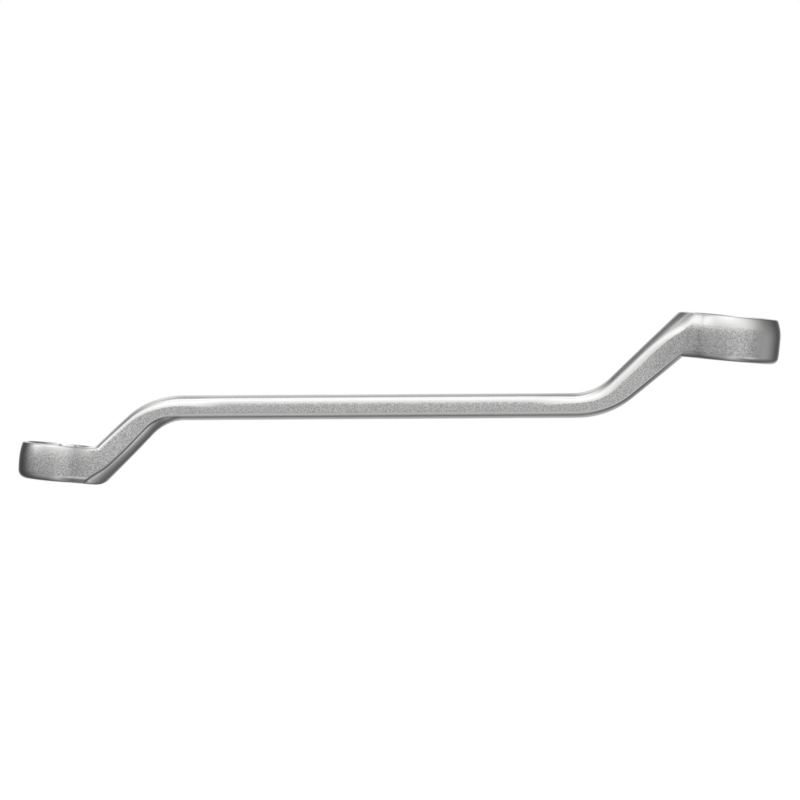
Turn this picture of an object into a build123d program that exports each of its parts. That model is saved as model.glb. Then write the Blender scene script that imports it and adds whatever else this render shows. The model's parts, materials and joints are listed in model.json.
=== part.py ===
from build123d import *

import math
import os

# Double-ended offset ring spanner, drop-forged in one piece, in millimetres.
# The origin is the centre of the small ring's lower face, and both ring axes point along +Z.
# +X runs from the small ring to the large ring, and the tool is symmetric about the XZ plane.

# Sockets: nut sizes, the play that lets the nut in, the drilled crests and the lead-in at each mouth
small_across_flats = 24.0
large_across_flats = 30.0
socket_play = 0.2
crest_flat = 0.15
lead_in_margin = 0.35
lead_in_depth = 1.7
points_in_socket = 12

# Ring heads: outside diameter, height, swell of the barrel wall, and the rounding of the two rims
small_ring_diameter = 36.0
large_ring_diameter = 44.5
small_ring_height = 16.5
large_ring_height = 20.2
ring_swell = 0.45
small_lower_rim_radius = 2.9
small_upper_rim_radius = 2.3
large_lower_rim_radius = 3.3
large_upper_rim_radius = 3.1

# Necks: the concave arcs, seen from above, that carry each leg's flanks out to its ring's wall
small_neck_radius = 57.0
large_neck_radius = 33.9

# Webs: beside each neck, the ring's wall runs on flush with the leg's flanks to the corner between them
web_depth = 8.0
web_inset = 0.02
web_overlap = 2.2
web_heel_margin = 0.5

# Centreline: the legs rise from each ring's middle plane to the shank, which climbs a little
small_leg_angle = 49.4
large_leg_angle = 46.7
small_leg_rise = 28.5
large_leg_rise = 35.3
small_foot_outset = 1.0
large_foot_outset = 0.1
shank_span = 200.3
shank_climb_angle = 5.4
small_bend_radius = 29.0
large_bend_radius = 32.7
root_reach = 14.0

# Forged bar along the shank
shank_width = 16.0
shank_thickness = 11.3
shank_top_crown = 0.95
shank_bottom_crown = 1.7
shank_lower_shoulder = 3.0
upper_shoulder = 3.2
shoulder_inset_share = 0.34

# Forged bar at the root of each leg, inside the ring that it carries
small_root_thickness = 15.2
small_root_top_crown = 0.8
small_root_bottom_crown = 5.6
large_root_thickness = 17.5
large_root_top_crown = 3.9
large_root_bottom_crown = 2.0
root_lower_shoulder = 1.0

# Heels: the rounded outer corner where each leg runs into its ring's face
small_heel_radius = 6.5
large_heel_radius = 4.6
overrun = 5.0

# Places along the leg, from its root to the bend, and then round the bend to the shank
leg_place_shares = (0.0, 0.2, 0.4, 0.6, 0.8, 1.0)
bend_place_shares = (0.25, 0.5, 0.75, 0.92, 1.0)

# How far each size has gone from the shank's value (0) to the root's value (1) at those places
small_thickness_shares = (1.0, 1.0, 0.97, 0.91, 0.82, 0.68, 0.48, 0.26, 0.07, 0.01, 0.0)
small_top_crown_shares = (1.0, 1.0, 0.9, 0.8, 0.7, 0.6, 0.46, 0.26, 0.07, 0.01, 0.0)
small_bottom_crown_shares = (1.0, 1.0, 0.91, 0.75, 0.7, 0.69, 0.64, 0.45, 0.17, 0.02, 0.0)
large_thickness_shares = (1.0, 0.88, 0.76, 0.65, 0.52, 0.38, 0.27, 0.17, 0.07, 0.01, 0.0)
large_top_crown_shares = (1.0, 0.97, 0.86, 0.67, 0.42, 0.16, 0.06, 0.02, 0.0, 0.0, 0.0)
large_bottom_crown_shares = (1.0, 0.9, 0.79, 0.67, 0.52, 0.36, 0.25, 0.14, 0.05, 0.01, 0.0)
lower_shoulder_shares = (1.0, 1.0, 1.0, 1.0, 1.0, 0.92, 0.75, 0.48, 0.17, 0.02, 0.0)

small_radius = small_ring_diameter / 2
large_radius = large_ring_diameter / 2
shank_half = shank_width / 2
cutter_depth = large_ring_diameter

shank_sizes = (shank_thickness, shank_top_crown, shank_bottom_crown, shank_lower_shoulder)
small_root_sizes = (small_root_thickness, small_root_top_crown, small_root_bottom_crown, root_lower_shoulder)
large_root_sizes = (large_root_thickness, large_root_top_crown, large_root_bottom_crown, root_lower_shoulder)
small_size_shares = tuple(
    zip(small_thickness_shares, small_top_crown_shares, small_bottom_crown_shares, lower_shoulder_shares)
)
large_size_shares = tuple(
    zip(large_thickness_shares, large_top_crown_shares, large_bottom_crown_shares, lower_shoulder_shares)
)


def heading(angle):
    """Direction in the XZ plane that climbs at this angle."""
    return Vector(math.cos(math.radians(angle)), 0, math.sin(math.radians(angle)))


def leg_run(rise, angle):
    """Level distance that a leg covers while it rises this much."""
    return rise / math.tan(math.radians(angle))


small_middle = Vector(0, 0, small_ring_height / 2)
small_foot = small_middle + Vector(small_radius + small_foot_outset, 0, 0)
small_corner = small_foot + Vector(leg_run(small_leg_rise, small_leg_angle), 0, small_leg_rise)
large_corner = small_corner + heading(shank_climb_angle) * shank_span
large_foot = large_corner + Vector(leg_run(large_leg_rise, large_leg_angle), 0, large_leg_rise)
large_middle = large_foot + Vector(large_radius + large_foot_outset, 0, 0)


def centreline():
    """Leg, bend, shank, bend and leg of the forged bar's centreline, in order."""
    points = (
        small_foot - heading(small_leg_angle) * root_reach,
        small_corner,
        large_corner,
        large_foot + heading(large_leg_angle) * root_reach,
    )
    path = FilletPolyline(*points, radius=(small_bend_radius, large_bend_radius))
    return path.edges().sort_by(Axis.X)


def across(edge, share):
    """Plane square to the centreline, with its x across the tool and its y towards the upper face."""
    forward = edge.position_at(0).X < edge.position_at(1).X
    place = share if forward else 1 - share
    along = edge.tangent_at(place)
    if not forward:
        along = along * -1
    return Plane(origin=edge.position_at(place), x_dir=(0, 1, 0), z_dir=along)


def neck_arc_reach(ring_radius, neck_radius):
    """Level distance from a ring's centre to the centres of its neck arcs."""
    return math.sqrt((ring_radius + neck_radius) ** 2 - (shank_half + neck_radius) ** 2)


def neck_contact_run(ring_radius, neck_radius):
    """Level distance from a ring's centre to where its neck arcs touch it."""
    return neck_arc_reach(ring_radius, neck_radius) * ring_radius / (ring_radius + neck_radius)


def neck_half_width(run, ring_radius, neck_radius):
    """Half width of the outline seen from above, at this level distance from a ring's centre."""
    arc_reach = neck_arc_reach(ring_radius, neck_radius)
    into_neck = arc_reach - min(max(run, neck_contact_run(ring_radius, neck_radius)), arc_reach)
    return shank_half + neck_radius - math.sqrt(neck_radius ** 2 - into_neck ** 2)


def rim_inset(depth, rim_radius):
    """How far a ring's rim has drawn in at this depth from the ring's face."""
    left = rim_radius - min(max(depth, 0), rim_radius)
    return rim_radius - math.sqrt(rim_radius ** 2 - left ** 2)


def flank_half(plane, height):
    """Half width of the bar's flank at this height on a section's plane."""
    place = plane.origin + plane.y_dir * height
    if place.X < large_middle.X / 2:
        drawn_in = rim_inset(place.Z, small_lower_rim_radius)
        return neck_half_width(place.X, small_radius, small_neck_radius) - drawn_in
    drawn_in = rim_inset(large_middle.Z + large_ring_height / 2 - place.Z, large_upper_rim_radius)
    return neck_half_width(large_middle.X - place.X, large_radius, large_neck_radius) - drawn_in


def bar_section(plane, thickness, top_crown, bottom_crown, lower_shoulder):
    """Section of the forged bar: crowned faces, flanks that follow the necks and turned shoulders."""
    top = thickness / 2
    upper_edge, lower_edge = top - top_crown, bottom_crown - top
    flank_top, flank_bottom = upper_edge - upper_shoulder, lower_edge + lower_shoulder
    middle = (flank_top + flank_bottom) / 2
    upper_half, middle_half, lower_half = (flank_half(plane, place) for place in (flank_top, middle, flank_bottom))
    bow_half = middle_half * 2 - (upper_half + lower_half) / 2
    crown_half = flank_half(plane, upper_edge) - upper_shoulder * shoulder_inset_share
    keel_half = flank_half(plane, lower_edge) - lower_shoulder * shoulder_inset_share
    upper_lean, lower_lean = upper_half - bow_half, bow_half - lower_half
    upper_climb, lower_drop = flank_top - middle, flank_bottom - middle
    outline = [
        ThreePointArc((-crown_half, upper_edge), (0, top), (crown_half, upper_edge)),
        TangentArc((upper_half, flank_top), (crown_half, upper_edge), tangent=(upper_lean, upper_climb)),
        Bezier((upper_half, flank_top), (bow_half, middle), (lower_half, flank_bottom)),
        TangentArc((lower_half, flank_bottom), (keel_half, lower_edge), tangent=(-lower_lean, lower_drop)),
        ThreePointArc((keel_half, lower_edge), (0, -top), (-keel_half, lower_edge)),
        TangentArc((-lower_half, flank_bottom), (-keel_half, lower_edge), tangent=(lower_lean, lower_drop)),
        Bezier((-lower_half, flank_bottom), (-bow_half, middle), (-upper_half, flank_top)),
        TangentArc((-upper_half, flank_top), (-crown_half, upper_edge), tangent=(-upper_lean, upper_climb)),
    ]
    return plane * make_face(outline)


def end_sections(leg, bend, root_sizes, size_shares, towards_large):
    """Sections from a leg's root round its bend to the shank."""
    places = [(leg, share) for share in leg_place_shares] + [(bend, share) for share in bend_place_shares]
    sections = []
    for (edge, share), shares in zip(places, size_shares):
        plane = across(edge, 1 - share if towards_large else share)
        sizes = [low + (high - low) * part for low, high, part in zip(shank_sizes, root_sizes, shares)]
        sections.append(bar_section(plane, *sizes))
    return sections


def forged_bar():
    """Both legs, both bends and the shank as one crowned bar that flares towards its rings."""
    small_leg, small_bend, shank, large_bend, large_leg = centreline()
    small_end = end_sections(small_leg, small_bend, small_root_sizes, small_size_shares, False)
    large_end = end_sections(large_leg, large_bend, large_root_sizes, large_size_shares, True)
    middle = loft([small_end[-1], large_end[-1]], ruled=True)
    return loft(small_end) + middle + loft(large_end[::-1])


def heel_offset(leg_angle, thickness, half_height):
    """Level distance from a leg's foot to where its outer line meets its ring's face."""
    line_angle = math.radians(leg_angle)
    return thickness / 2 / math.sin(line_angle) - half_height / math.tan(line_angle)


def heel_corner(foot, leg_angle, thickness, half_height, outward):
    """Where a leg's outer line meets its ring's outer face."""
    offset = heel_offset(leg_angle, thickness, half_height)
    return Vector(foot.X + offset * outward, 0, foot.Z - half_height * outward)


def heel_waste(corner, leg_angle, radius, outward):
    """Metal beyond a ring's face and beyond its leg's outer line, with the corner left rounded."""
    reach = (root_reach + overrun) * outward
    face_end = corner - Vector(reach, 0, 0)
    leg_end = corner + heading(leg_angle) * reach
    waste_corner = Vector(leg_end.X, 0, corner.Z - reach)
    waste_end = Vector(face_end.X, 0, waste_corner.Z)
    kept_side = FilletPolyline(face_end, corner, leg_end, radius=(radius,))
    waste_side = Polyline(leg_end, waste_corner, waste_end, face_end)
    outline = make_face([*kept_side.edges(), *waste_side.edges()])
    return extrude(outline, cutter_depth, both=True, dir=(0, 1, 0))


def wall_profile(inner, half, height, lower_rim, upper_rim):
    """Half section of a barrel wall with both rims rounded, between these two distances from the middle."""
    wall = half - ring_swell
    profile = make_face([
        Polyline((wall, 0), (inner, 0), (inner, height), (wall, height)),
        ThreePointArc((wall, height), (half, height / 2), (wall, 0)),
    ])
    profile = fillet(profile.vertices().sort_by_distance((wall, 0))[0], lower_rim)
    return fillet(profile.vertices().sort_by_distance((wall, height))[0], upper_rim)


def ring_blank(radius, height, lower_rim, upper_rim):
    """Barrel-walled ring without its socket, standing on the XY plane."""
    return revolve(Plane.XZ * wall_profile(0, radius, height, lower_rim, upper_rim), Axis.Z)


def web_half(ring_radius, neck_radius, height, rims, concave_run, heel_run, heel_height):
    """The ring's wall turned about one neck arc's centre, cut off clear of the leg's heel side."""
    arc_reach, arc_offset = neck_arc_reach(ring_radius, neck_radius), shank_half + neck_radius
    contact_angle = math.asin(arc_reach / (ring_radius + neck_radius))
    concave_angle = math.asin((arc_reach - concave_run) / neck_radius)
    towards_neck = Plane(origin=(0, 0, 0), x_dir=(arc_reach, arc_offset, 0), z_dir=(arc_offset, -arc_reach, 0))
    wall = wall_profile(ring_radius - web_depth, ring_radius - web_inset, height, *rims)
    neck_axis = Axis((arc_reach, arc_offset, 0), (0, 0, 1))
    side = revolve(towards_neck * wall, neck_axis, math.degrees(contact_angle - concave_angle))
    heel_waste_outline = Polyline(
        (heel_run, heel_height), (concave_run, height - heel_height), (concave_run + overrun, heel_height), close=True
    )
    return side - extrude(Plane.XZ * make_face(heel_waste_outline), cutter_depth, both=True)


def web(*sizes):
    """Both sides of a web along +X from a ring's centre."""
    side = web_half(*sizes)
    return side + mirror(side, about=Plane.XZ)


def socket_cutter(across_flats, height):
    """Twelve-point socket with crests trimmed by the drilled hole and a lead-in at both mouths."""
    half = (across_flats + socket_play) / 2
    step = math.pi / points_in_socket
    crest_radius = half / math.cos(step)
    valley_radius = half / math.cos(step * 2)
    drilled_radius = crest_radius + crest_flat
    corners = []
    for index in range(points_in_socket * 2):
        reach = crest_radius if index % 2 else valley_radius
        corners.append((reach * math.cos(index * step), reach * math.sin(index * step)))
    outline = make_face(Polyline(*corners, close=True)) + Circle(drilled_radius)
    cutter = Pos(0, 0, -overrun) * extrude(outline, height + 2 * overrun)
    mouth = valley_radius + lead_in_margin
    lead_in = Cone(mouth, drilled_radius, lead_in_depth, align=(Align.CENTER, Align.CENTER, Align.MIN))
    return cutter + lead_in + Pos(0, 0, height) * Rot(X=180) * lead_in


def small_web():
    """Web of the small ring, kept clear of the leg's keel."""
    reach = small_radius + small_foot_outset
    offset = heel_offset(small_leg_angle, small_root_thickness, small_ring_height / 2)
    trimmed_edge = small_root_bottom_crown / math.sin(math.radians(small_leg_angle))
    return web(
        small_radius,
        small_neck_radius,
        small_ring_height,
        (small_lower_rim_radius, small_upper_rim_radius),
        reach - offset + web_overlap,
        reach + offset - trimmed_edge - web_heel_margin,
        0,
    )


def large_web():
    """Web of the large ring, kept clear of the leg's crowned top."""
    reach = large_radius + large_foot_outset
    offset = heel_offset(large_leg_angle, large_root_thickness, large_ring_height / 2)
    trimmed_edge = large_root_top_crown / math.sin(math.radians(large_leg_angle))
    towards_small = web(
        large_radius,
        large_neck_radius,
        large_ring_height,
        (large_lower_rim_radius, large_upper_rim_radius),
        reach - offset + web_overlap,
        reach + offset - trimmed_edge - web_heel_margin,
        large_ring_height,
    )
    return Rot(Z=180) * towards_small


def forging():
    """The whole tool in one solid."""
    bar = forged_bar()
    small_heel = heel_corner(small_foot, small_leg_angle, small_root_thickness, small_ring_height / 2, 1)
    large_heel = heel_corner(large_foot, large_leg_angle, large_root_thickness, large_ring_height / 2, -1)
    bar -= heel_waste(small_heel, small_leg_angle, small_heel_radius, 1)
    bar -= heel_waste(large_heel, large_leg_angle, large_heel_radius, -1)
    small_ring = ring_blank(small_radius, small_ring_height, small_lower_rim_radius, small_upper_rim_radius)
    large_ring = ring_blank(large_radius, large_ring_height, large_lower_rim_radius, large_upper_rim_radius)
    large_place = Pos(large_middle.X, 0, large_middle.Z - large_ring_height / 2)
    body = bar + small_ring + large_place * large_ring + small_web() + large_place * large_web()
    body -= socket_cutter(small_across_flats, small_ring_height)
    body -= large_place * socket_cutter(large_across_flats, large_ring_height)
    return body


if __name__ == "__main__":
    os.makedirs("parts", exist_ok=True)
    export_step(forging(), "parts/forged_spanner.step")
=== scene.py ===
"""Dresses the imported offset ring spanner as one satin-chromed forging, seen from the side on white.

The tool lies in the row's frame: the small ring's lower face is at the origin, both ring axes point
along +Z and +X runs to the large ring. All sizes are in metres and all angles in degrees.
"""

from __future__ import annotations

import json
import logging
import math
from collections.abc import Callable
from dataclasses import dataclass
from enum import Enum
from functools import partial

import bmesh
import bpy
from mathutils import Matrix, Vector

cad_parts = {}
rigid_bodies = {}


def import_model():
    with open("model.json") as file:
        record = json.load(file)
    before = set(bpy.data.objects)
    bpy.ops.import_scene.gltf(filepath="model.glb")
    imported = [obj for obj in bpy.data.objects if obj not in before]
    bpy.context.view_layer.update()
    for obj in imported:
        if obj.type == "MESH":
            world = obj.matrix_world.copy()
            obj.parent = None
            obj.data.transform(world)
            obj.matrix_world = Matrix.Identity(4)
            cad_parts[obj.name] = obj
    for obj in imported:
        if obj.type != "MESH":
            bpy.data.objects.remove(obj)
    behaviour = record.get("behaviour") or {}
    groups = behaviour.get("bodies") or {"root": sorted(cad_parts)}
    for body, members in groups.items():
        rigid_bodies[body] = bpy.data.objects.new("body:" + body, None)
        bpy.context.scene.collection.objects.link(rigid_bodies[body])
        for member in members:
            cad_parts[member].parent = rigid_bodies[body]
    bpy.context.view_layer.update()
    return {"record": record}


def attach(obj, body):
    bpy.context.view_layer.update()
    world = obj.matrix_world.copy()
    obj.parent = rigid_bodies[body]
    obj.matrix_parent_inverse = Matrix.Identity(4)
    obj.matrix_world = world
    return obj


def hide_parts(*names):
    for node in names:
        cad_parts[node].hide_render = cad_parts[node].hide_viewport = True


LOG = logging.getLogger("ring_spanner")
MM = 0.001
SHANK_HALF = 8.0 * MM
NODE = "forged_spanner"


class Side(Enum):
    """The end of the tool that a ring or a leg belongs to."""

    SMALL = "small"
    LARGE = "large"


def heading(angle: float) -> Vector:
    """Returns the direction in the XZ plane that climbs at this angle."""
    return Vector((math.cos(math.radians(angle)), 0.0, math.sin(math.radians(angle))))


def square_to(angle: float) -> Vector:
    """Returns the upward direction in the XZ plane that is square to a heading."""
    return Vector((-math.sin(math.radians(angle)), 0.0, math.cos(math.radians(angle))))


def smooth_step(low: float, high: float, value: float) -> float:
    """Returns 0 below low, 1 above high and an eased share between them."""
    share = min(max((value - low) / (high - low), 0.0), 1.0)
    return share * share * (3.0 - 2.0 * share)


def eased(places: tuple[float, ...], values: tuple[float, ...], place: float) -> float:
    """Reads a table smoothly at a place between its entries.

    Args:
        places: Rising places of the entries.
        values: The entries.
        place: Where to read.

    Returns:
        The value on a smooth curve through the entries.
    """
    if place <= places[0]:
        return values[0]
    if place >= places[-1]:
        return values[-1]
    index = max(i for i, known in enumerate(places) if known <= place)
    span = places[index + 1] - places[index]
    share = (place - places[index]) / span

    def slope(i: int) -> float:
        """Returns the curve's slope at an entry."""
        before, after = max(i - 1, 0), min(i + 1, len(places) - 1)
        return (values[after] - values[before]) / (places[after] - places[before])

    start, end = slope(index) * span, slope(index + 1) * span
    low, high = values[index], values[index + 1]
    cube, square = share ** 3, share ** 2
    return (
        low * (2 * cube - 3 * square + 1)
        + start * (cube - 2 * square + share)
        + high * (3 * square - 2 * cube)
        + end * (cube - square)
    )


def merged(first: float, second: float) -> float:
    """Returns the deeper of two insets, eased where they are alike."""
    return (max(first, 0.0) ** 3 + max(second, 0.0) ** 3) ** (1 / 3)


class Bench:
    """The hand operations that shape every piece."""

    @staticmethod
    def clear() -> None:
        """Leaves edit mode and selects nothing."""
        if bpy.context.object is not None and bpy.context.object.mode != "OBJECT":
            bpy.ops.object.mode_set(mode="OBJECT")
        bpy.ops.object.select_all(action="DESELECT")

    @staticmethod
    def pick(piece: bpy.types.Object) -> bpy.types.Object:
        """Makes one piece active and the only one selected, and returns it."""
        Bench.clear()
        piece.select_set(True)
        bpy.context.view_layer.objects.active = piece
        return piece

    @staticmethod
    def named(name: str) -> bpy.types.Object:
        """Names the primitive that was just added and returns it."""
        piece = bpy.context.object
        piece.name = name
        piece.data.name = name
        return piece

    @staticmethod
    def edit(piece: bpy.types.Object) -> bmesh.types.BMesh:
        """Opens a piece in edit mode and returns its mesh."""
        Bench.pick(piece)
        bpy.ops.object.mode_set(mode="EDIT")
        return bmesh.from_edit_mesh(piece.data)

    @staticmethod
    def close(piece: bpy.types.Object) -> None:
        """Turns all faces of an open piece outwards and leaves edit mode."""
        bpy.ops.mesh.select_all(action="SELECT")
        bpy.ops.mesh.normals_make_consistent(inside=False)
        bpy.ops.object.mode_set(mode="OBJECT")
        piece.data.update()

    @staticmethod
    def settle(piece: bpy.types.Object) -> bpy.types.Object:
        """Moves a piece's place into its mesh and returns the piece."""
        Bench.pick(piece)
        bpy.ops.object.transform_apply(location=True, rotation=True, scale=True)
        return piece

    @staticmethod
    def apply(piece: bpy.types.Object, kind: str, **settings: object) -> bpy.types.Object:
        """Adds one modifier with these settings, applies it and returns the piece."""
        Bench.pick(piece)
        modifier = piece.modifiers.new(kind.title(), kind)
        for name, value in settings.items():
            setattr(modifier, name, value)
        bpy.ops.object.modifier_apply(modifier=modifier.name)
        return piece

    @staticmethod
    def extruded(name: str, loops: list[list[Vector]], radius: float) -> bpy.types.Object:
        """Draws the first loop and extrudes it from loop to loop.

        Args:
            name: The solid's name.
            loops: Rings of places, all with the same number of places.
            radius: Radius of the circle that is drawn first.

        Returns:
            The closed solid.
        """
        Bench.clear()
        bpy.ops.mesh.primitive_circle_add(vertices=len(loops[0]), radius=radius, fill_type="NGON")
        piece = Bench.named(name)
        mesh = Bench.edit(piece)
        mesh.verts.ensure_lookup_table()
        spot = mesh.verts.layers.int.new("spot")
        for index, vert in enumerate(mesh.verts):
            vert[spot] = index
            vert.co = loops[0][index]
        bmesh.update_edit_mesh(piece.data)
        bpy.ops.mesh.select_all(action="SELECT")
        for loop in loops[1:]:
            bpy.ops.mesh.extrude_region_move()
            mesh = bmesh.from_edit_mesh(piece.data)
            spot = mesh.verts.layers.int["spot"]
            for vert in mesh.verts:
                if vert.select:
                    vert.co = loop[vert[spot]]
            bmesh.update_edit_mesh(piece.data)
        Bench.close(piece)
        return Bench.settle(piece)

    @staticmethod
    def join(pieces: list[bpy.types.Object]) -> bpy.types.Object:
        """Joins pieces into the first of them and returns it."""
        Bench.clear()
        for piece in pieces:
            piece.select_set(True)
        bpy.context.view_layer.objects.active = pieces[0]
        bpy.ops.object.join()
        return pieces[0]

    @staticmethod
    def combine(
        piece: bpy.types.Object, tool: bpy.types.Object, operation: str
    ) -> bpy.types.Object:
        """Joins or cuts a piece with a tool that is then thrown away, and returns the piece."""
        Bench.apply(piece, "BOOLEAN", operation=operation, object=tool, solver="MANIFOLD")
        bpy.data.objects.remove(tool)
        return piece


@dataclass
class RingHead:
    """One barrel-walled ring head with its broached twelve-point socket."""

    side: Side
    axis_x: float
    base_z: float
    diameter: float
    height: float
    lower_rim: float
    upper_rim: float
    across_flats: float
    neck_radius: float
    draft: float
    draft_depth: float
    shank_half: float = SHANK_HALF
    swell: float = 0.45 * MM
    play: float = 0.2 * MM
    crest_flat: float = 0.15 * MM
    lead_in_margin: float = 0.35 * MM
    lead_in_depth: float = 1.7 * MM
    lead_in_above: float = 4.0 * MM
    lead_in_below: float = 2.72 * MM
    swell_fade_end: float = 1.1
    draft_fade_start: float = 0.72
    draft_fade_end: float = 1.12
    lean_share: float = 0.62
    core_share: float = 0.5
    merge_gap: float = 0.001 * MM
    points: int = 12
    wall_steps: int = 12
    rim_steps: int = 8
    turns: int = 144
    overrun: float = 5 * MM

    @property
    def radius(self) -> float:
        """Outside radius at the widest place."""
        return self.diameter / 2

    @property
    def step(self) -> float:
        """Angle from a valley of the socket to the next crest, in radians."""
        return math.pi / self.points

    @property
    def crest_radius(self) -> float:
        """Radius to which the crests are drilled."""
        return (self.across_flats + self.play) / 2 / math.cos(self.step) + self.crest_flat

    @property
    def valley_radius(self) -> float:
        """Radius of the socket's outer corners."""
        return (self.across_flats + self.play) / 2 / math.cos(self.step * 2)

    @property
    def arc_reach(self) -> float:
        """Level distance from the ring's axis to the middle of its neck arcs."""
        across = self.shank_half + self.neck_radius
        return math.sqrt((self.radius + self.neck_radius) ** 2 - across ** 2)

    @property
    def contact_run(self) -> float:
        """Level distance from the ring's axis to where the neck arcs touch the ring."""
        return self.arc_reach * self.radius / (self.radius + self.neck_radius)

    def flush_half(self, run: float, height: float) -> float:
        """Works out the half width of the flush side wall of ring, web and leg.

        Args:
            run: Level distance from the ring's axis.
            height: Height over the ring's base.

        Returns:
            The half width, with the ring's swell fading away beyond the neck.
        """
        contact, reach = self.contact_run, self.arc_reach
        into_neck = reach - min(max(run, contact), reach)
        across = self.shank_half + self.neck_radius
        half = across - math.sqrt(self.neck_radius ** 2 - into_neck ** 2)
        swell_fade = 1.0 - smooth_step(contact, self.radius * self.swell_fade_end, run)
        draft_fade = 1.0
        if self.side is Side.SMALL:
            start, end = self.radius * self.draft_fade_start, self.radius * self.draft_fade_end
            draft_fade -= smooth_step(start, end, run)
        inside = min(max(height, 0.0), self.height)
        drawn_in = self.swell_inset(inside) * swell_fade + self.draft_inset(inside) * draft_fade
        return half - drawn_in * self.slant(run)

    def slant(self, run: float) -> float:
        """Returns how much wider than deep an inset lies where the neck arc slants."""
        into_neck = self.arc_reach - min(max(run, self.contact_run), self.arc_reach)
        return 1.0 / math.sqrt(1.0 - (into_neck / self.neck_radius) ** 2)

    def swell_inset(self, height: float) -> float:
        """Returns how far the wall's lower half is drawn in at this height over the ring's base."""
        return self.swell * max(1.0 - height / (self.height / 2), 0.0) ** 2

    def draft_inset(self, height: float) -> float:
        """Returns how far the wall's polished top leans in at this height over the ring's base."""
        return self.draft * max(1.0 - (self.height - height) / self.draft_depth, 0.0) ** 2

    def wall_radius(self, height: float) -> float:
        """Returns the barrel wall's radius at this height over the ring's base."""
        return self.radius - self.swell_inset(height) - self.draft_inset(height)

    @property
    def rim_lean(self) -> float:
        """Angle, in radians, at which the wall leans in where it meets the upper rim."""
        deep = self.upper_rim * self.lean_share / self.draft_depth
        return math.atan(2.0 * self.draft / self.draft_depth * (1.0 - deep))

    @property
    def upper_start(self) -> float:
        """Height over the base at which the upper rim's rounding starts."""
        return self.height - self.upper_rim * (1.0 - math.sin(self.rim_lean))

    def rim_inset(self, height: float) -> float:
        """Returns how far the upper rim is drawn in from the wall's end at this height."""
        share = 1.0 - (self.height - height) / self.upper_rim
        share = min(max(share, math.sin(self.rim_lean)), 1.0)
        return self.upper_rim * (math.cos(self.rim_lean) - math.sqrt(1.0 - share * share))

    def wall(self) -> list[tuple[float, float]]:
        """Returns the outline from the lower face, up the wall, to the upper face."""
        lower, start = self.lower_rim, self.upper_start
        outline = []
        for i in range(self.rim_steps + 1):
            turn = math.radians(90 * i / self.rim_steps)
            wall = self.wall_radius(lower)
            outline.append((wall - lower * (1 - math.sin(turn)), lower * (1 - math.cos(turn))))
        for i in range(1, self.wall_steps):
            height = lower + (start - lower) * i / self.wall_steps
            outline.append((self.wall_radius(height), height))
        for i in range(self.rim_steps + 1):
            turn = self.rim_lean + (math.pi / 2 - self.rim_lean) * i / self.rim_steps
            height = self.height - self.upper_rim * (1 - math.sin(turn))
            outline.append((self.wall_radius(start) - self.rim_inset(height), height))
        return outline

    def blank(self) -> bpy.types.Object:
        """Spins the ring's outline into a solid blank and returns it."""
        inner = self.radius * self.core_share
        outline = [(0.0, 0.0), (inner, 0.0), *self.wall(), (inner, self.height), (0.0, self.height)]
        Bench.clear()
        bpy.ops.mesh.primitive_circle_add(vertices=3, radius=self.radius, fill_type="NOTHING")
        piece = Bench.named(f"{self.side.value}_ring_blank")
        mesh = Bench.edit(piece)
        bpy.ops.mesh.delete(type="VERT")
        mesh = bmesh.from_edit_mesh(piece.data)
        corners = [mesh.verts.new((self.axis_x + r, 0.0, self.base_z + h)) for r, h in outline]
        for first, second in zip(corners, corners[1:]):
            mesh.edges.new((first, second))
        bmesh.update_edit_mesh(piece.data)
        bpy.ops.mesh.select_all(action="SELECT")
        bpy.ops.mesh.spin(
            steps=self.turns,
            angle=math.tau,
            center=(self.axis_x, 0.0, self.base_z),
            axis=(0.0, 0.0, 1.0),
        )
        bpy.ops.mesh.select_all(action="SELECT")
        bpy.ops.mesh.remove_doubles(threshold=self.merge_gap)
        Bench.close(piece)
        return Bench.settle(piece)

    def broach(self) -> bpy.types.Object:
        """Builds the twelve-point broach, its crests drilled flat, and returns it."""
        middle = self.base_z + self.height / 2
        Bench.clear()
        bpy.ops.mesh.primitive_cylinder_add(
            vertices=self.points * 2,
            radius=self.valley_radius,
            depth=self.height + 2 * self.overrun,
            location=(self.axis_x, 0.0, middle),
        )
        piece = Bench.settle(Bench.named(f"{self.side.value}_broach"))
        mesh = Bench.edit(piece)
        bpy.ops.mesh.select_all(action="DESELECT")
        for vert in mesh.verts:
            angle = math.atan2(vert.co.y, vert.co.x - self.axis_x)
            vert.select = round(angle / self.step) % 2 == 1
        crests = [edge for edge in mesh.edges if all(vert.select for vert in edge.verts)]
        bmesh.update_edit_mesh(piece.data)
        narrow = (self.crest_radius - self.crest_flat) / self.valley_radius
        bpy.ops.transform.resize(
            value=(narrow, narrow, 1.0), center_override=(self.axis_x, 0.0, middle)
        )
        bpy.ops.mesh.select_all(action="DESELECT")
        for edge in crests:
            edge.select = True
        mesh.select_mode = {"EDGE"}
        bmesh.update_edit_mesh(piece.data)
        bpy.ops.mesh.bevel(offset=self.crest_flat / math.sin(self.step), segments=2, affect="EDGES")
        Bench.close(piece)
        return piece

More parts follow.
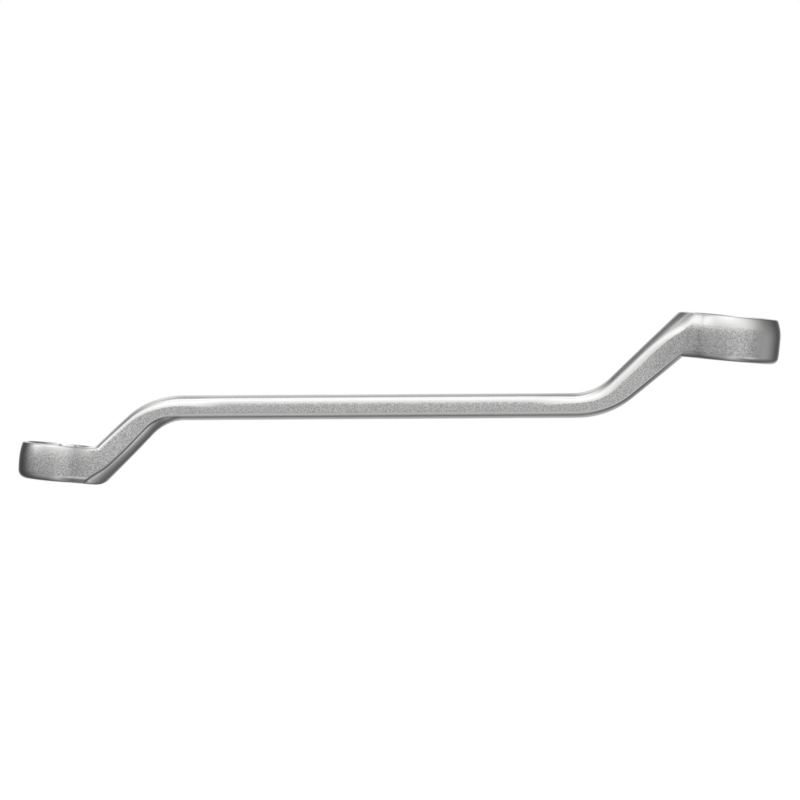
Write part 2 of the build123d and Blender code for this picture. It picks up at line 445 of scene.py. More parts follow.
    def lead_in(self, upper: bool) -> bpy.types.Object:
        """Builds the countersink that leads a nut into one mouth of the socket.

        Args:
            upper: Whether the mouth is in the upper face.

        Returns:
            The cone, which reaches past the face and on into the socket.
        """
        mouth = self.valley_radius + self.lead_in_margin
        flare = (mouth - self.crest_radius) / self.lead_in_depth
        above, below = self.lead_in_above, self.lead_in_below
        wide, narrow = mouth + flare * above, mouth - flare * below
        outward = 1.0 if upper else -1.0
        face_z = self.base_z + (self.height if upper else 0.0)
        Bench.clear()
        bpy.ops.mesh.primitive_cone_add(
            vertices=self.turns,
            radius1=narrow if upper else wide,
            radius2=wide if upper else narrow,
            depth=above + below,
            location=(self.axis_x, 0.0, face_z + outward * (above - below) / 2),
        )
        return Bench.settle(Bench.named(f"{self.side.value}_lead_in"))

    def socket_cutter(self) -> bpy.types.Object:
        """Joins the broach and both countersinks into the socket's cutter and returns it."""
        cutter = self.broach()
        for upper in (False, True):
            Bench.combine(cutter, self.lead_in(upper), "UNION")
        return cutter


@dataclass(frozen=True)
class Roll:
    """How the slope of a rolled shoulder grows from the flank to the trimmed edge."""

    start: float
    gain: float
    power: float
    end_power: float

    def inset(self, share: float, edge_slope: float) -> float:
        """Returns the inset up a shoulder of unit height that ends in the crown's slope."""
        end = max(edge_slope - self.start - self.gain, 0.0)
        grown = self.gain * share ** self.power / self.power
        return self.start * share + grown + end * share ** self.end_power / self.end_power


CRISP_ROLL = Roll(start=0.3, gain=0.58, power=2.2, end_power=7.0)
SOFT_ROLL = Roll(start=0.0, gain=0.57, power=2.6, end_power=10.0)


@dataclass
class Section:
    """One section of the forged bar: crowned faces, flat flanks and rolled shoulders."""

    thickness: float
    top_crown: float
    bottom_crown: float
    lower_shoulder: float
    lower_inset: float
    upper_shoulder: float
    softness: float
    shank_half: float = SHANK_HALF
    mean_slope: float = 0.6
    crown_steps: int = 14
    shoulder_steps: int = 6
    roll_steps: int = 14
    flank_steps: int = 4

    @property
    def upper_edge(self) -> float:
        """Height of the upper trimmed edge over the centreline."""
        return self.thickness / 2 - self.top_crown

    @property
    def lower_edge(self) -> float:
        """Height of the lower trimmed edge over the centreline."""
        return self.bottom_crown - self.thickness / 2

    @staticmethod
    def crown(half: float, edge: float, peak: float, steps: int) -> list[tuple[float, float]]:
        """Returns an arc from the right edge over the peak, without the left edge's point."""
        rise = peak - edge
        radius = (half * half + rise * rise) / (2 * abs(rise))
        centre = peak - math.copysign(radius, rise)
        reach = math.asin(min(half / radius, 1.0))
        spots = []
        for i in range(steps):
            turn = reach * (1 - 2 * i / steps)
            height = math.copysign(radius * math.cos(turn), rise)
            spots.append((radius * math.sin(turn), centre + height))
        return spots

    def shoulder(self, start: float, end: float, inset: float) -> list[tuple[float, float]]:
        """Draws an arc that leaves the flank upright.

        Args:
            start: Height where it leaves the flank.
            end: Height of the trimmed edge.
            inset: How far the trimmed edge is in from the flank.

        Returns:
            Insets and heights from the flank to the edge.
        """
        along = end - start
        radius = (inset * inset + along * along) / (2 * inset)
        turn = 2 * math.atan2(inset, abs(along)) / self.shoulder_steps
        return [
            (
                radius * (1 - math.cos(turn * i)),
                start + math.copysign(radius * math.sin(turn * i), along),
            )
            for i in range(self.shoulder_steps + 1)
        ]

    def roll(self, start: float, end: float) -> list[tuple[float, float]]:
        """Draws the polished upper shoulder, crisp along a leg and soft along the shank.

        Args:
            start: Height where it leaves the flank.
            end: Height of the trimmed edge.

        Returns:
            Insets and heights from the flank to the edge.
        """
        along = end - start
        crown_half = self.shank_half - along * self.mean_slope
        edge_slope = (crown_half ** 2 - self.top_crown ** 2) / (2 * self.top_crown * crown_half)
        spots = []
        for i in range(self.roll_steps + 1):
            share = i / self.roll_steps
            crisp = CRISP_ROLL.inset(share, edge_slope)
            soft = SOFT_ROLL.inset(share, edge_slope)
            inset = along * (crisp + (soft - crisp) * self.softness)
            spots.append((inset, start + along * share))
        return spots

    def inset_at(self, over: float) -> float:
        """Returns how far a shoulder, or the crown beyond it, is in at this height."""
        if over > 0.0:
            crown, beyond = self.top_crown, over - self.upper_edge
            spots = self.roll(self.upper_edge - self.upper_shoulder, self.upper_edge)
        else:
            crown, beyond = self.bottom_crown, self.lower_edge - over
            start = self.lower_edge + self.lower_shoulder
            spots = self.shoulder(start, self.lower_edge, self.lower_inset)
        for (near_inset, near), (far_inset, far) in zip(spots, spots[1:]):
            if abs(over) < abs(far):
                share = max((over - near) / (far - near), 0.0)
                return near_inset + (far_inset - near_inset) * share
        edge_inset = spots[-1][0]
        over_crown = 1.0 - math.sqrt(1.0 - min(beyond / crown, 1.0))
        return edge_inset + (self.shank_half - edge_inset) * over_crown

    def outline(self, half_at: Callable[[float, float], float]) -> list[tuple[float, float]]:
        """Draws the closed outline.

        Args:
            half_at: Gives the half width at a height, from the section's inset there.

        Returns:
            Places across the tool and heights over the centreline.
        """
        low, high = self.lower_edge + self.lower_shoulder, self.upper_edge - self.upper_shoulder
        steps = self.flank_steps
        flank = [(0.0, low + (high - low) * i / steps) for i in range(1, steps)]
        lower = self.shoulder(low, self.lower_edge, self.lower_inset)
        upper = self.roll(high, self.upper_edge)
        right = [(half_at(z, inset), z) for inset, z in lower[::-1] + flank + upper]
        peak = self.thickness / 2
        top = self.crown(right[-1][0], self.upper_edge, peak, self.crown_steps)[1:]
        under = self.crown(right[0][0], self.lower_edge, -peak, self.crown_steps)[:0:-1]
        left = [(-x, z) for x, z in right[::-1]]
        return right + top + left + [(-x, z) for x, z in under[::-1]]


@dataclass
class CrankedEnd:
    """One leg with its bend: its centreline, and how its section grows towards the ring."""

    ring: RingHead
    leg_angle: float
    leg_rise: float
    foot_outset: float
    bend_radius: float
    heel_radius: float
    root_thickness: float
    root_top_crown: float
    root_bottom_crown: float
    thickness_shares: tuple[float, ...]
    top_crown_shares: tuple[float, ...]
    bottom_crown_shares: tuple[float, ...]
    upper_shoulders: tuple[float, ...]
    root_lower_inset: float
    root_lower_shoulder: float = 1.0 * MM
    root_reach: float = 14 * MM
    overrun: float = 5 * MM
    web_start: float = 4 * MM
    web_overlap: float = 2.2 * MM
    web_margin: float = 0.5 * MM
    web_steps: int = 24
    heel_steps: int = 16
    leg_shares: tuple[float, ...] = (0.0, 0.2, 0.4, 0.6, 0.8, 1.0)
    bend_shares: tuple[float, ...] = (0.25, 0.5, 0.75, 0.92, 1.0)
    shoulder_shares: tuple[float, ...] = (
        1.0, 1.0, 1.0, 1.0, 1.0, 0.92, 0.75, 0.48, 0.17, 0.02, 0.0,
    )

    @property
    def outward(self) -> float:
        """+1 where the leg climbs away from its ring along +X, and -1 at the other end."""
        return 1.0 if self.ring.side is Side.SMALL else -1.0

    @property
    def foot(self) -> Vector:
        """Where the leg's centreline meets the level through the ring's middle."""
        reach = self.ring.radius + self.foot_outset
        middle = self.ring.base_z + self.ring.height / 2
        return Vector((self.ring.axis_x + reach * self.outward, 0.0, middle))

    @property
    def corner(self) -> Vector:
        """Where the leg's line meets the shank's line."""
        run = self.leg_rise / math.tan(math.radians(self.leg_angle))
        return self.foot + Vector((run, 0.0, self.leg_rise)) * self.outward

    def heel_corner(self) -> Vector:
        """Returns where the leg's outer line meets the ring's outer face."""
        line = math.radians(self.leg_angle)
        half_height = self.ring.height / 2
        offset = self.root_thickness / 2 / math.sin(line) - half_height / math.tan(line)
        return Vector(
            (self.foot.x + offset * self.outward, 0.0, self.foot.z - half_height * self.outward)
        )

    def half_at(self, spot: Vector, inset: float) -> float:
        """Works out the half width of leg and ring at a place on the centre plane.

        Args:
            spot: The place.
            inset: How far the leg's own section is in there.

        Returns:
            The half width, drawn in at the rim that the heel runs into.
        """
        ring = self.ring
        run, height = (spot.x - ring.axis_x) * self.outward, spot.z - ring.base_z
        if ring.side is Side.LARGE:
            on_wall = min(height, ring.upper_start)
            draft = ring.draft_inset(on_wall)
            drawn_in = merged(draft + ring.rim_inset(height), inset) - draft
            return ring.flush_half(run, on_wall) - drawn_in * ring.slant(run)
        rim = ring.lower_rim
        left = rim - min(max(height, 0.0), rim)
        drawn_in = merged(rim - math.sqrt(rim * rim - left * left), inset)
        return ring.flush_half(run, height) - drawn_in * ring.slant(run)

    def web_ends(self) -> tuple[float, float]:
        """Returns how far the web runs from the ring's axis at its lower and upper face."""
        line = math.radians(self.leg_angle)
        half_height = self.ring.height / 2
        reach = self.ring.radius + self.foot_outset
        slack = self.root_thickness / 2 / math.sin(line) - half_height / math.tan(line)
        concave = reach - slack + self.web_overlap
        crown = self.root_bottom_crown if self.outward > 0 else self.root_top_crown
        convex = reach + slack - crown / math.sin(line) - self.web_margin
        return (convex, concave) if self.outward > 0 else (concave, convex)

    def web(self, heel_inset: Callable[[Vector], float]) -> bpy.types.Object:
        """Builds the web that keeps the ring's wall flush with the leg's flanks.

        Args:
            heel_inset: Gives how far the leg's shoulder on the heel's side is in from its flank.

        Returns:
            The web.
        """
        ring = self.ring
        low_end, high_end = self.web_ends()
        loops = []
        for step in range(self.web_steps + 1):
            right = []
            for radius, height in ring.wall():
                end_run = low_end + (high_end - low_end) * height / ring.height
                run = self.web_start + (end_run - self.web_start) * step / self.web_steps
                on_wall = min(max(height, ring.lower_rim), ring.upper_start)
                spot = Vector((ring.axis_x + run * self.outward, 0.0, ring.base_z + height))
                draft = ring.draft_inset(on_wall) if ring.side is Side.LARGE else 0.0
                own = draft + ring.wall_radius(on_wall) - radius
                drawn_in = merged(own, heel_inset(spot)) - draft
                spot.y = drawn_in * ring.slant(run) - ring.flush_half(run, on_wall)
                right.append(spot)
            loops.append(right + [Vector((spot.x, -spot.y, spot.z)) for spot in right[::-1]])
        return Bench.extruded(f"{ring.side.value}_web", loops, ring.radius)

    def heel_waste(self) -> bpy.types.Object:
        """Builds the block of metal beyond the ring's face and the leg's outer line."""
        corner = self.heel_corner()
        reach = (self.root_reach + self.overrun) * self.outward
        face_end = corner - Vector((reach, 0.0, 0.0))
        leg_end = corner + heading(self.leg_angle) * reach
        waste_corner = Vector((leg_end.x, 0.0, corner.z - reach))
        waste_end = Vector((face_end.x, 0.0, waste_corner.z))
        Bench.clear()
        bpy.ops.mesh.primitive_circle_add(vertices=5, radius=self.ring.radius, fill_type="NGON")
        piece = Bench.named(f"{self.ring.side.value}_heel_waste")
        mesh = Bench.edit(piece)
        mesh.verts.ensure_lookup_table()
        depth = Vector((0.0, self.ring.diameter, 0.0))
        places = (corner, leg_end, waste_corner, waste_end, face_end)
        for vert, place in zip(mesh.verts, places):
            vert.co = place - depth
            vert.select = place is corner
        bmesh.update_edit_mesh(piece.data)
        mesh.select_mode = {"VERT"}
        turn = math.radians(self.leg_angle) / 2
        bpy.ops.mesh.bevel(
            offset=self.heel_radius * math.tan(turn),
            segments=self.heel_steps,
            affect="VERTICES",
            offset_type="OFFSET",
            clamp_overlap=False,
        )
        bpy.ops.mesh.select_all(action="SELECT")
        bpy.ops.mesh.extrude_region_move(TRANSFORM_OT_translate={"value": tuple(depth * 2)})
        Bench.close(piece)
        return Bench.settle(piece)


@dataclass
class ForgedTool:
    """The whole forging: two ring heads, two cranked legs and the shank between them."""

    small: CrankedEnd
    large: CrankedEnd
    shank_width: float = 2 * SHANK_HALF
    shank_thickness: float = 11.3 * MM
    shank_top_crown: float = 0.95 * MM
    shank_bottom_crown: float = 1.7 * MM
    shank_lower_shoulder: float = 2.0 * MM
    shank_lower_inset: float = 1.16 * MM
    shank_upper_shoulder: float = 5.2 * MM
    shank_easing: float = 0.12
    leg_steps: int = 26
    bend_steps: int = 18
    shank_steps: int = 40
    voxel: float = 0.31 * MM
    most_triangles: int = 186000
    crease_angle: float = 66.0
    blend_rings: int = 1
    blend_passes: int = 4
    blend_factor: float = 0.5
    surface_passes: int = 2
    sharp_angle: float = 32.0

    @property
    def climb(self) -> float:
        """Angle at which the shank climbs from the small end to the large end."""
        span = self.large.corner - self.small.corner
        return math.degrees(math.atan2(span.z, span.x))

    def end_stations(self, end: CrankedEnd) -> list[tuple[Vector, float, float]]:
        """Lists the stations of one end from its root to its bend's far side.

        Args:
            end: The cranked end.

        Returns:
            Each station's place, heading in degrees and place in the share tables.
        """
        turn = math.radians(end.leg_angle - self.climb)
        tangent = end.bend_radius * math.tan(turn / 2)
        along_leg, along_shank = heading(end.leg_angle), heading(self.climb)
        root = end.foot - along_leg * end.root_reach * end.outward
        bend_start = end.corner - along_leg * tangent * end.outward
        bend_end = end.corner + along_shank * tangent * end.outward
        stations = []
        for i in range(self.leg_steps + 1):
            share = i / self.leg_steps
            stations.append((root.lerp(bend_start, share), end.leg_angle, share))
        centre = bend_end - square_to(self.climb) * end.bend_radius * end.outward
        for i in range(1, self.bend_steps + 1):
            share = i / self.bend_steps
            angle = end.leg_angle + (self.climb - end.leg_angle) * share
            out = square_to(angle) * end.bend_radius * end.outward
            stations.append((centre + out, angle, 1.0 + share))
        return stations

    def section(self, end: CrankedEnd, table_place: float) -> Section:
        """Works out the bar's section at one station.

        Args:
            end: The end whose sizes apply.
            table_place: Place in the share tables, 0 at the root, 1 at the bend and 2 beyond it, where
                what is over 2 is how far the shank's soft shoulder has come in.

        Returns:
            The section.
        """
        places = end.leg_shares + tuple(1.0 + share for share in end.bend_shares)

        def size(shank_size: float, root_size: float, shares: tuple[float, ...]) -> float:
            """Returns a size part of the way from the shank's to the root's."""
            return shank_size + (root_size - shank_size) * eased(places, shares, table_place)

        thickness = size(self.shank_thickness, end.root_thickness, end.thickness_shares)
        top_crown = size(self.shank_top_crown, end.root_top_crown, end.top_crown_shares)
        bottom_crown = size(
            self.shank_bottom_crown, end.root_bottom_crown, end.bottom_crown_shares
        )
        shoulder = size(self.shank_lower_shoulder, end.root_lower_shoulder, end.shoulder_shares)
        inset = size(self.shank_lower_inset, end.root_lower_inset, end.shoulder_shares)
        softness = max(table_place - 2.0, 0.0)
        upper = eased(places, end.upper_shoulders, table_place)
        upper += (self.shank_upper_shoulder - upper) * softness
        return Section(thickness, top_crown, bottom_crown, shoulder, inset, upper, softness)

    def heel_inset(self, end: CrankedEnd, spot: Vector) -> float:
        """Works out how far a leg's shoulder and crown on the heel's side are in from its flank.

        Args:
            end: The cranked end.
            spot: A place on the centre plane near the leg's root.

        Returns:
            The inset, 0 on the flank itself and on the other side.
        """
        turn = math.radians(end.leg_angle - self.climb)
        along = heading(end.leg_angle)
        root = end.foot - along * end.root_reach * end.outward
        bend_start = end.corner - along * end.bend_radius * math.tan(turn / 2) * end.outward
        place = (spot - root).dot(along) * end.outward / (bend_start - root).length
        section = self.section(end, min(max(place, 0.0), 1.0))
        over = (spot - end.foot).dot(square_to(end.leg_angle))
        return section.inset_at(over) if over * end.outward < 0.0 else 0.0

    def loops(self) -> list[list[Vector]]:
        """Returns the section loops of the whole bar, from the small root to the large root."""
        small, large = self.end_stations(self.small), self.end_stations(self.large)
        start, finish = small[-1][0], large[-1][0]
        stations = [(self.small, *s) for s in small]
        for i in range(1, self.shank_steps):
            share = i / self.shank_steps
            near = min(share, 1.0 - share)
            place = 2.0 + smooth_step(0.0, self.shank_easing, near)
            end = self.small if share < 0.5 else self.large
            stations.append((end, start.lerp(finish, share), self.climb, place))
        stations += [(self.large, *s) for s in reversed(large)]
        loops = []
        for end, place, angle, table_place in stations:
            over = square_to(angle)

            def half_at(height: float, inset: float) -> float:
                """Returns the tool's half width at this height over the centreline."""
                return end.half_at(place + over * height, inset)

            outline = self.section(end, table_place).outline(half_at)
            loops.append([place + Vector((0.0, -x, 0.0)) + over * z for x, z in outline])
        return loops

    def blend_creases(self, piece: bpy.types.Object) -> None:
        """Works the concave creases between legs and rings into forged fillets."""
        mesh = Bench.edit(piece)
        bpy.ops.mesh.select_all(action="DESELECT")
        limit = math.radians(self.crease_angle)
        for edge in mesh.edges:
            if edge.calc_face_angle_signed(0.0) < -limit:
                for vert in edge.verts:
                    vert.select = True
        mesh.select_mode = {"VERT"}
        mesh.select_flush_mode()
        bmesh.update_edit_mesh(piece.data)
        for _ in range(self.blend_rings):
            bpy.ops.mesh.select_more()
        bpy.ops.mesh.vertices_smooth(factor=self.blend_factor, repeat=self.blend_passes)
        bpy.ops.mesh.select_all(action="SELECT")
        bpy.ops.mesh.vertices_smooth(factor=self.blend_factor, repeat=self.surface_passes)
        Bench.close(piece)

    def build(self) -> bpy.types.Object:
        """Forges bar and rings into one body, blends it, broaches the sockets and returns it."""
        body = Bench.extruded("forged_bar", self.loops(), self.shank_width)
        LOG.info("bar: %d faces", len(body.data.polygons))
        for end in (self.small, self.large):
            Bench.combine(body, end.heel_waste(), "DIFFERENCE")
        for end in (self.small, self.large):
            web = end.web(partial(self.heel_inset, end))
            Bench.join([body, end.ring.blank(), web])
        Bench.apply(body, "REMESH", mode="VOXEL", voxel_size=self.voxel, adaptivity=0.0)
        LOG.info("forging: %d faces", len(body.data.polygons))
        self.blend_creases(body)
        ratio = self.most_triangles / (len(body.data.polygons) * 2)
        Bench.apply(body, "DECIMATE", ratio=min(ratio, 1.0))
        cutters = [end.ring.socket_cutter() for end in (self.small, self.large)]
        Bench.combine(body, Bench.join(cutters), "DIFFERENCE")
        body.name = "ring_spanner_forging"
        body.data.name = "ring_spanner_forging"
        Bench.pick(body)
        bpy.ops.object.shade_smooth_by_angle(angle=math.radians(self.sharp_angle))
        body.data.calc_loop_triangles()
        LOG.info("finished forging: %d triangles", len(body.data.loop_triangles))
        return body

    def dress(self, forging: bpy.types.Object) -> None:
        """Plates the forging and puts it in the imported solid's place."""
        forging.data.materials.clear()
        forging.data.materials.append(SatinChrome().make())
        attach(forging, "root")
        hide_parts(NODE)
        LOG.info("forging dressed")


class Sheet:
    """A node tree that is laid out by a few short calls."""

    def __init__(self, tree: bpy.types.NodeTree) -> None:
        """Empties the tree."""
        self.tree = tree
        tree.nodes.clear()

    def add(
        self, kind: str, settings: dict[str, object] | None = None, **sockets: object
    ) -> bpy.types.Node:
        """Adds one node.

        Args:
            kind: The node's type name.
            settings: The node's own properties.
            sockets: Values or output sockets for inputs, by name, with spaces as underscores.

        Returns:
            The node.
        """
        node = self.tree.nodes.new(kind)
        for name, value in (settings or {}).items():
            setattr(node, name, value)
        for name, value in sockets.items():
            self.feed(node.inputs[name.replace("_", " ")], value)
        return node

    def feed(self, socket: bpy.types.NodeSocket, value: object) -> None:
        """Links an output to a socket, or sets the socket's value."""
        if isinstance(value, bpy.types.NodeSocket):
            self.tree.links.new(value, socket)
        else:
            socket.default_value = value

    def maths(self, operation: str, *values: object) -> bpy.types.NodeSocket:
        """Adds a Math node on these values and returns its output."""
        node = self.tree.nodes.new("ShaderNodeMath")
        node.operation = operation
        for socket, value in zip(node.inputs, values):
            self.feed(socket, value)
        return node.outputs[0]

    def ramp(
        self, value: object, low: float, high: float, start: float = 0.0, end: float = 1.0
    ) -> bpy.types.NodeSocket:
        """Eases a value from one range into another and returns the output."""
        node = self.tree.nodes.new("ShaderNodeMapRange")
        node.interpolation_type = "SMOOTHSTEP"
        for name, given in (
            ("Value", value),
            ("From Min", low),
            ("From Max", high),
            ("To Min", start),
            ("To Max", end),
        ):
            self.feed(node.inputs[name], given)
        return node.outputs["Result"]

    def noise(
        self, place: bpy.types.NodeSocket, size: float, detail: float, **sockets: float
    ) -> bpy.types.NodeSocket:
        """Adds a noise of this grain size and returns its output."""
        node = self.add(
            "ShaderNodeTexNoise", Vector=place, Scale=1.0 / size, Detail=detail, **sockets
        )
        return node.outputs["Fac"]

    def mix(self, share: object, first: object, second: object) -> bpy.types.NodeSocket:
        """Mixes two numbers and returns the output."""
        node = self.tree.nodes.new("ShaderNodeMix")
        self.feed(node.inputs[0], share)
        self.feed(node.inputs[2], first)
        self.feed(node.inputs[3], second)
        return node.outputs[0]


@dataclass(frozen=True)
class SatinChrome:
    """Satin chrome plate: blasted grain on the flanks, smoother polish on the turned shoulders."""

    name: str = "satin_chrome"
    tone: tuple[float, float, float] = (0.70, 0.70, 0.695)
    dull_tone: tuple[float, float, float] = (0.43, 0.43, 0.43)
    grain: float = 0.62 * MM
    fine_grain: float = 0.3 * MM
    patch: float = 14.0 * MM
    shoulder_roughness: float = 0.19
    flank_roughness: float = 0.36
    patch_roughness: float = 0.03
    speck_roughness: float = 0.05
    shoulder_bump: float = 0.03
    flank_bump: float = 0.6
    bump_depth: float = 0.12 * MM
    fine_share: float = 0.4
    flank_tilt: tuple[float, float] = (0.10, 0.26)
    dull_range: tuple[float, float] = (0.42, 0.60)
    small_polish_x: float = -10.5 * MM
    large_polish_x: float = 307.5 * MM
    fade: float = 6.0 * MM

    def flank(self, sheet: Sheet, place: bpy.types.Node) -> bpy.types.NodeSocket:
        """Finds the grainy flanks: upright faces between the rings' polished outer ends.

        Args:
            sheet: The material's sheet.
            place: Its Texture Coordinate node.

        Returns:
            1 on the flanks, 0 on shoulders, faces and the outer ends.
        """
        normal = sheet.add("ShaderNodeSeparateXYZ", Vector=place.outputs["Normal"])
        spot = sheet.add("ShaderNodeSeparateXYZ", Vector=place.outputs["Object"]).outputs["X"]
        tilt = sheet.maths("ABSOLUTE", normal.outputs["Z"])
        upright = sheet.ramp(tilt, *self.flank_tilt, 1.0, 0.0)
        small_x, large_x = self.small_polish_x, self.large_polish_x
        small_end = sheet.ramp(spot, small_x - self.fade, small_x)
        large_end = sheet.ramp(spot, large_x, large_x + self.fade, 1.0, 0.0)
        return sheet.maths("MULTIPLY", upright, sheet.maths("MULTIPLY", small_end, large_end))

    def make(self) -> bpy.types.Material:
        """Builds the material, with the grain and the dull patches on the flanks alone."""
        material = bpy.data.materials.new(self.name)
        material.use_nodes = True
        sheet = Sheet(material.node_tree)
        place = sheet.add("ShaderNodeTexCoord")
        flank = self.flank(sheet, place)
        grain = sheet.noise(place.outputs["Object"], self.grain, 2.0, Roughness=0.6)
        fine = sheet.noise(place.outputs["Object"], self.fine_grain, 1.0)
        patch = sheet.noise(place.outputs["Object"], self.patch, 3.0)
        both = sheet.maths("ADD", grain, sheet.maths("MULTIPLY", fine, self.fine_share))
        strength = sheet.mix(flank, self.shoulder_bump, self.flank_bump)
        height = sheet.maths("MULTIPLY", both, strength)
        bump = sheet.add("ShaderNodeBump", Height=height, Distance=self.bump_depth, Strength=1.0)
        roughness = sheet.mix(flank, self.shoulder_roughness, self.flank_roughness)
        uneven = sheet.ramp(patch, 0.3, 0.7, -self.patch_roughness, self.patch_roughness)
        speck = sheet.ramp(grain, 0.35, 0.65, -self.speck_roughness, self.speck_roughness)
        roughness = sheet.maths("ADD", sheet.maths("ADD", roughness, uneven), speck)
        colour = sheet.tree.nodes.new("ShaderNodeMix")
        colour.data_type = "RGBA"
        colour.inputs[6].default_value = (*self.tone, 1.0)
        colour.inputs[7].default_value = (*self.dull_tone, 1.0)
        dull = sheet.maths("MULTIPLY", sheet.ramp(grain, *self.dull_range), flank)
        sheet.feed(colour.inputs[0], dull)
        shader = sheet.add(
            "ShaderNodeBsdfPrincipled",
            Base_Color=colour.outputs[2],
            Metallic=1.0,
            Roughness=roughness,
            Normal=bump.outputs["Normal"],
        )
        sheet.add("ShaderNodeOutputMaterial", Surface=shader.outputs[0])
        return material


@dataclass(frozen=True)
class SoftSource:
    """One soft box, window or bounce board of the studio, far away from the tool.

    Its turn is measured from the camera's side towards the large ring, its climb from the level, and
    its spread is how far from its middle the light has fallen to about half.
    """

    name: str
    turn: float
    climb: float
    spread: float
    strength: float

    @property
    def direction(self) -> tuple[float, float, float]:
        """Returns the direction from the tool to the source."""
        turn, climb = math.radians(self.turn), math.radians(self.climb)
        level = math.cos(climb)
        return (math.sin(turn) * level, -math.cos(turn) * level, math.sin(climb))

    @property
    def tightness(self) -> float:
        """Returns how fast the light falls away from the middle."""
        return 1.0 / math.radians(self.spread) ** 2


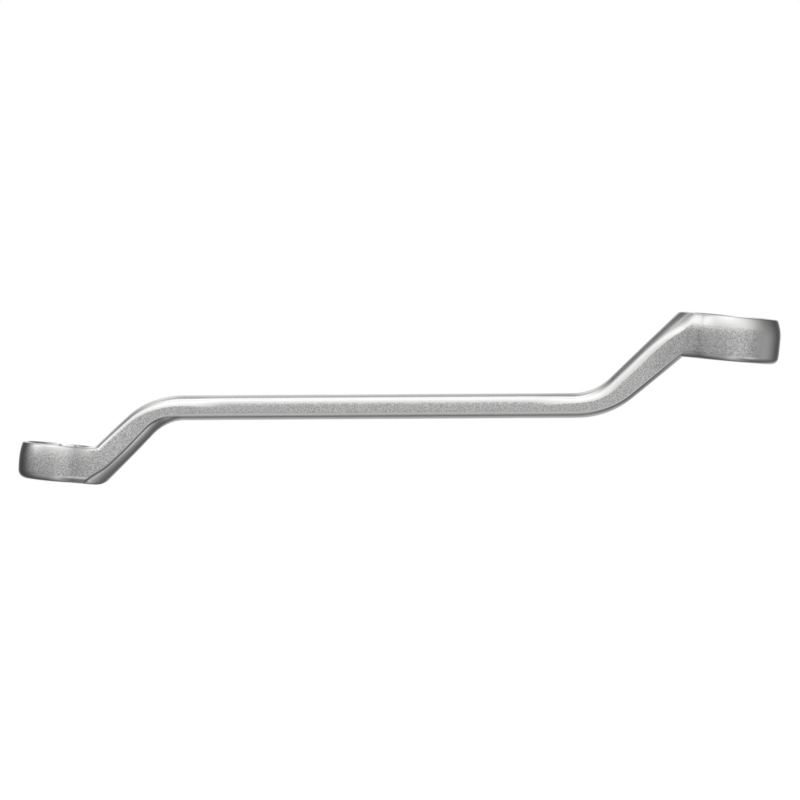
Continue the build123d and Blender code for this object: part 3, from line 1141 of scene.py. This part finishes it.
@dataclass(frozen=True)
class Studio:
    """The white sweep, the soft sources and the camera at the photograph's place."""

    image_width: float = 800.0
    pixels_per_metre: float = 2212.6
    aim: tuple[float, float, float] = (0.150, 0.0, 0.050)
    aim_pixel: tuple[float, float] = (395.9, 399.55)
    distance: float = 3.0
    elevation: float = 1.67
    roll: float = 5.05
    sensor: float = 36.0
    floor_drop: float = 0.16
    floor_size: float = 6.0
    paper_tone: float = 0.8
    paper_glow: float = 0.7
    clip: tuple[float, float] = (0.1, 50.0)
    room: float = 0.03
    sources: tuple[SoftSource, ...] = (
        SoftSource("overhead_front_softbox", -6, 49, 36, 1.00),
        SoftSource("overhead_left_softbox", -23, 57, 15, 0.45),
        SoftSource("ceiling_bounce", -143, 76, 14, 1.10),
        SoftSource("left_window", -79, 26, 13, 0.75),
        SoftSource("left_front_card", -64, 28, 22, 0.40),
        SoftSource("right_front_card", 34, 21, 22, 0.40),
        SoftSource("right_side_card", 91, -11, 22, 0.32),
        SoftSource("left_low_card", -56, -36, 22, 0.18),
        SoftSource("sweep_upper_left", -142, 52, 9, 0.56),
        SoftSource("right_low_front_card", 53, -35, 11, 0.50),
        SoftSource("sweep_upper", -165, 31, 9, 0.85),
        SoftSource("sweep_foot", 172, -31, 14, 0.50),
        SoftSource("table_front", 15, -26, 14, 0.50),
        SoftSource("table_below", -6, -55, 36, 0.22),
        SoftSource("table_low_card", 8, -62, 9, 0.50),
        SoftSource("table_back_card", 128, -82, 9, 0.36),
    )
    backdrop: SoftSource = SoftSource("white_backdrop", 180, 3, 14, 1.0)

    def camera(self) -> bpy.types.Object:
        """Adds the camera, rolled as the photograph is, and returns it."""
        lift = math.radians(self.elevation)
        ahead = Vector((0.0, math.cos(lift), -math.sin(lift)))
        level = Vector((1.0, 0.0, 0.0))
        over = level.cross(ahead)
        turn = math.radians(self.roll)
        right = level * math.cos(turn) + over * math.sin(turn)
        top = over * math.cos(turn) - level * math.sin(turn)
        centre = self.image_width / 2
        aim = Vector(self.aim)
        aim += right * (centre - self.aim_pixel[0]) / self.pixels_per_metre
        aim += top * (self.aim_pixel[1] - centre) / self.pixels_per_metre
        turned = Matrix((right, top, -ahead)).transposed()
        data = bpy.data.cameras.new("photo_camera")
        data.sensor_width = self.sensor
        data.lens = self.pixels_per_metre * self.distance * self.sensor / self.image_width
        data.clip_start, data.clip_end = self.clip
        camera = bpy.data.objects.new("photo_camera", data)
        bpy.context.scene.collection.objects.link(camera)
        camera.matrix_world = Matrix.Translation(aim - ahead * self.distance) @ turned.to_4x4()
        bpy.context.scene.camera = camera
        return camera

    def glow(
        self, sheet: Sheet, ray: bpy.types.NodeSocket, source: SoftSource
    ) -> bpy.types.NodeSocket:
        """Lays one soft source into the world.

        Args:
            sheet: The world's sheet.
            ray: The direction in which the world is looked at.
            source: The source.

        Returns:
            The source's light in that direction.
        """
        labelled = {"operation": "DOT_PRODUCT", "label": source.name}
        facing = sheet.add("ShaderNodeVectorMath", labelled)
        sheet.feed(facing.inputs[0], ray)
        sheet.feed(facing.inputs[1], source.direction)
        tight = source.tightness
        fall = sheet.maths("MULTIPLY_ADD", facing.outputs["Value"], tight, -tight)
        return sheet.maths("MULTIPLY", sheet.maths("EXPONENT", fall), source.strength)

    def world(self) -> None:
        """Lights the tool with the soft sources; camera and glass see the sweep as plain white."""
        world = bpy.data.worlds.new("studio")
        bpy.context.scene.world = world
        world.use_nodes = True
        sheet = Sheet(world.node_tree)
        ray = sheet.add("ShaderNodeTexCoord").outputs["Generated"]
        path = sheet.add("ShaderNodeLightPath")
        sweep, mirrored = self.glow(sheet, ray, self.backdrop), path.outputs["Is Glossy Ray"]
        light = sheet.maths("MULTIPLY_ADD", sweep, mirrored, self.room)
        for source in self.sources:
            light = sheet.maths("ADD", light, self.glow(sheet, ray, source))
        through = path.outputs["Is Transmission Ray"]
        seen = sheet.maths("MAXIMUM", path.outputs["Is Camera Ray"], through)
        strength = sheet.mix(seen, light, 1.0)
        background = sheet.add(
            "ShaderNodeBackground", Color=(1.0, 1.0, 1.0, 1.0), Strength=strength
        )
        sheet.add("ShaderNodeOutputWorld", Surface=background.outputs[0])

    def floor(self) -> bpy.types.Object:
        """Lays the white floor below the tool and returns it."""
        Bench.clear()
        place = (self.aim[0], 0.0, -self.floor_drop)
        bpy.ops.mesh.primitive_plane_add(size=self.floor_size, location=place)
        floor = Bench.settle(Bench.named("studio_floor"))
        material = bpy.data.materials.new("white_paper")
        material.use_nodes = True
        sheet = Sheet(material.node_tree)
        tone = self.paper_tone
        paper = sheet.add("ShaderNodeBsdfDiffuse", Color=(tone, tone, tone, 1.0))
        path = sheet.add("ShaderNodeLightPath")
        seen = sheet.maths("MULTIPLY", path.outputs["Is Camera Ray"], self.paper_glow)
        glow = sheet.add("ShaderNodeEmission", Strength=seen)
        both = sheet.add("ShaderNodeAddShader")
        sheet.feed(both.inputs[0], paper.outputs[0])
        sheet.feed(both.inputs[1], glow.outputs[0])
        sheet.add("ShaderNodeOutputMaterial", Surface=both.outputs[0])
        floor.data.materials.append(material)
        floor.visible_glossy = False
        return floor

    def build(self) -> None:
        """Sets up the whole studio."""
        self.camera()
        self.world()
        self.floor()
        bpy.context.scene.view_settings.view_transform = "Standard"


def packed_tool(record: dict) -> ForgedTool:
    """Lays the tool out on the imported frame.

    Args:
        record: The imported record, whose mounts give the large ring's place.

    Returns:
        The tool, ready to build.
    """
    top = next(m for m in record["mounts"] if m["name"] == "large_ring_upper_face")["pos_m"]
    large_height = 20.2 * MM
    small_ring = RingHead(
        side=Side.SMALL, axis_x=0.0, base_z=0.0, diameter=34.8 * MM, height=16.5 * MM,
        lower_rim=3.9 * MM, upper_rim=1.0 * MM, across_flats=24.0 * MM, neck_radius=57.0 * MM,
        draft=1.1 * MM, draft_depth=8.0 * MM,
    )
    large_ring = RingHead(
        side=Side.LARGE, axis_x=top[0], base_z=top[2] - large_height, diameter=44.5 * MM,
        height=large_height, lower_rim=3.3 * MM, upper_rim=1.1 * MM, across_flats=30.0 * MM,
        neck_radius=33.9 * MM, draft=2.0 * MM, draft_depth=8.5 * MM,
    )
    small_shoulders = (1.8, 1.8, 1.8, 1.8, 1.9, 2.1, 2.7, 3.2, 3.5, 3.6, 3.6)
    large_shoulders = (4.0, 3.8, 3.1, 3.6, 3.8, 3.9, 4.2, 4.1, 3.6, 3.4, 3.4)
    small = CrankedEnd(
        ring=small_ring, leg_angle=49.4, leg_rise=28.5 * MM, foot_outset=1.6 * MM,
        bend_radius=29.0 * MM, heel_radius=6.5 * MM, root_thickness=15.2 * MM,
        root_top_crown=0.8 * MM, root_bottom_crown=5.6 * MM,
        thickness_shares=(1.0, 1.0, 0.97, 0.91, 0.82, 0.68, 0.48, 0.26, 0.07, 0.01, 0.0),
        top_crown_shares=(1.0, 1.0, 0.9, 0.8, 0.7, 0.6, 0.46, 0.26, 0.07, 0.01, 0.0),
        bottom_crown_shares=(1.46, 1.26, 0.84, 0.72, 0.7, 0.69, 0.64, 0.45, 0.17, 0.02, 0.0),
        upper_shoulders=tuple(size * MM for size in small_shoulders), root_lower_inset=1.0 * MM,
    )
    large = CrankedEnd(
        ring=large_ring, leg_angle=46.7, leg_rise=35.3 * MM, foot_outset=0.1 * MM,
        bend_radius=32.7 * MM, heel_radius=4.6 * MM, root_thickness=17.5 * MM,
        root_top_crown=3.9 * MM, root_bottom_crown=2.0 * MM,
        thickness_shares=(1.0, 0.88, 0.76, 0.65, 0.52, 0.38, 0.27, 0.17, 0.07, 0.01, 0.0),
        top_crown_shares=(1.0, 0.9, 0.56, 0.3, 0.25, 0.12, 0.03, 0.01, 0.0, 0.0, 0.0),
        bottom_crown_shares=(1.0, 0.9, 0.79, 0.67, 0.52, 0.36, 0.25, 0.14, 0.05, 0.01, 0.0),
        upper_shoulders=tuple(size * MM for size in large_shoulders), root_lower_inset=0.38 * MM,
    )
    return ForgedTool(small, large)


def main() -> None:
    """Loads the frame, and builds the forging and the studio."""
    logging.basicConfig(level=logging.INFO, format="%(name)s: %(message)s")
    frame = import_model()
    tool = packed_tool(frame["record"])
    tool.dress(tool.build())
    Studio().build()
    LOG.info("studio ready")


if __name__ == "__main__":
    main()
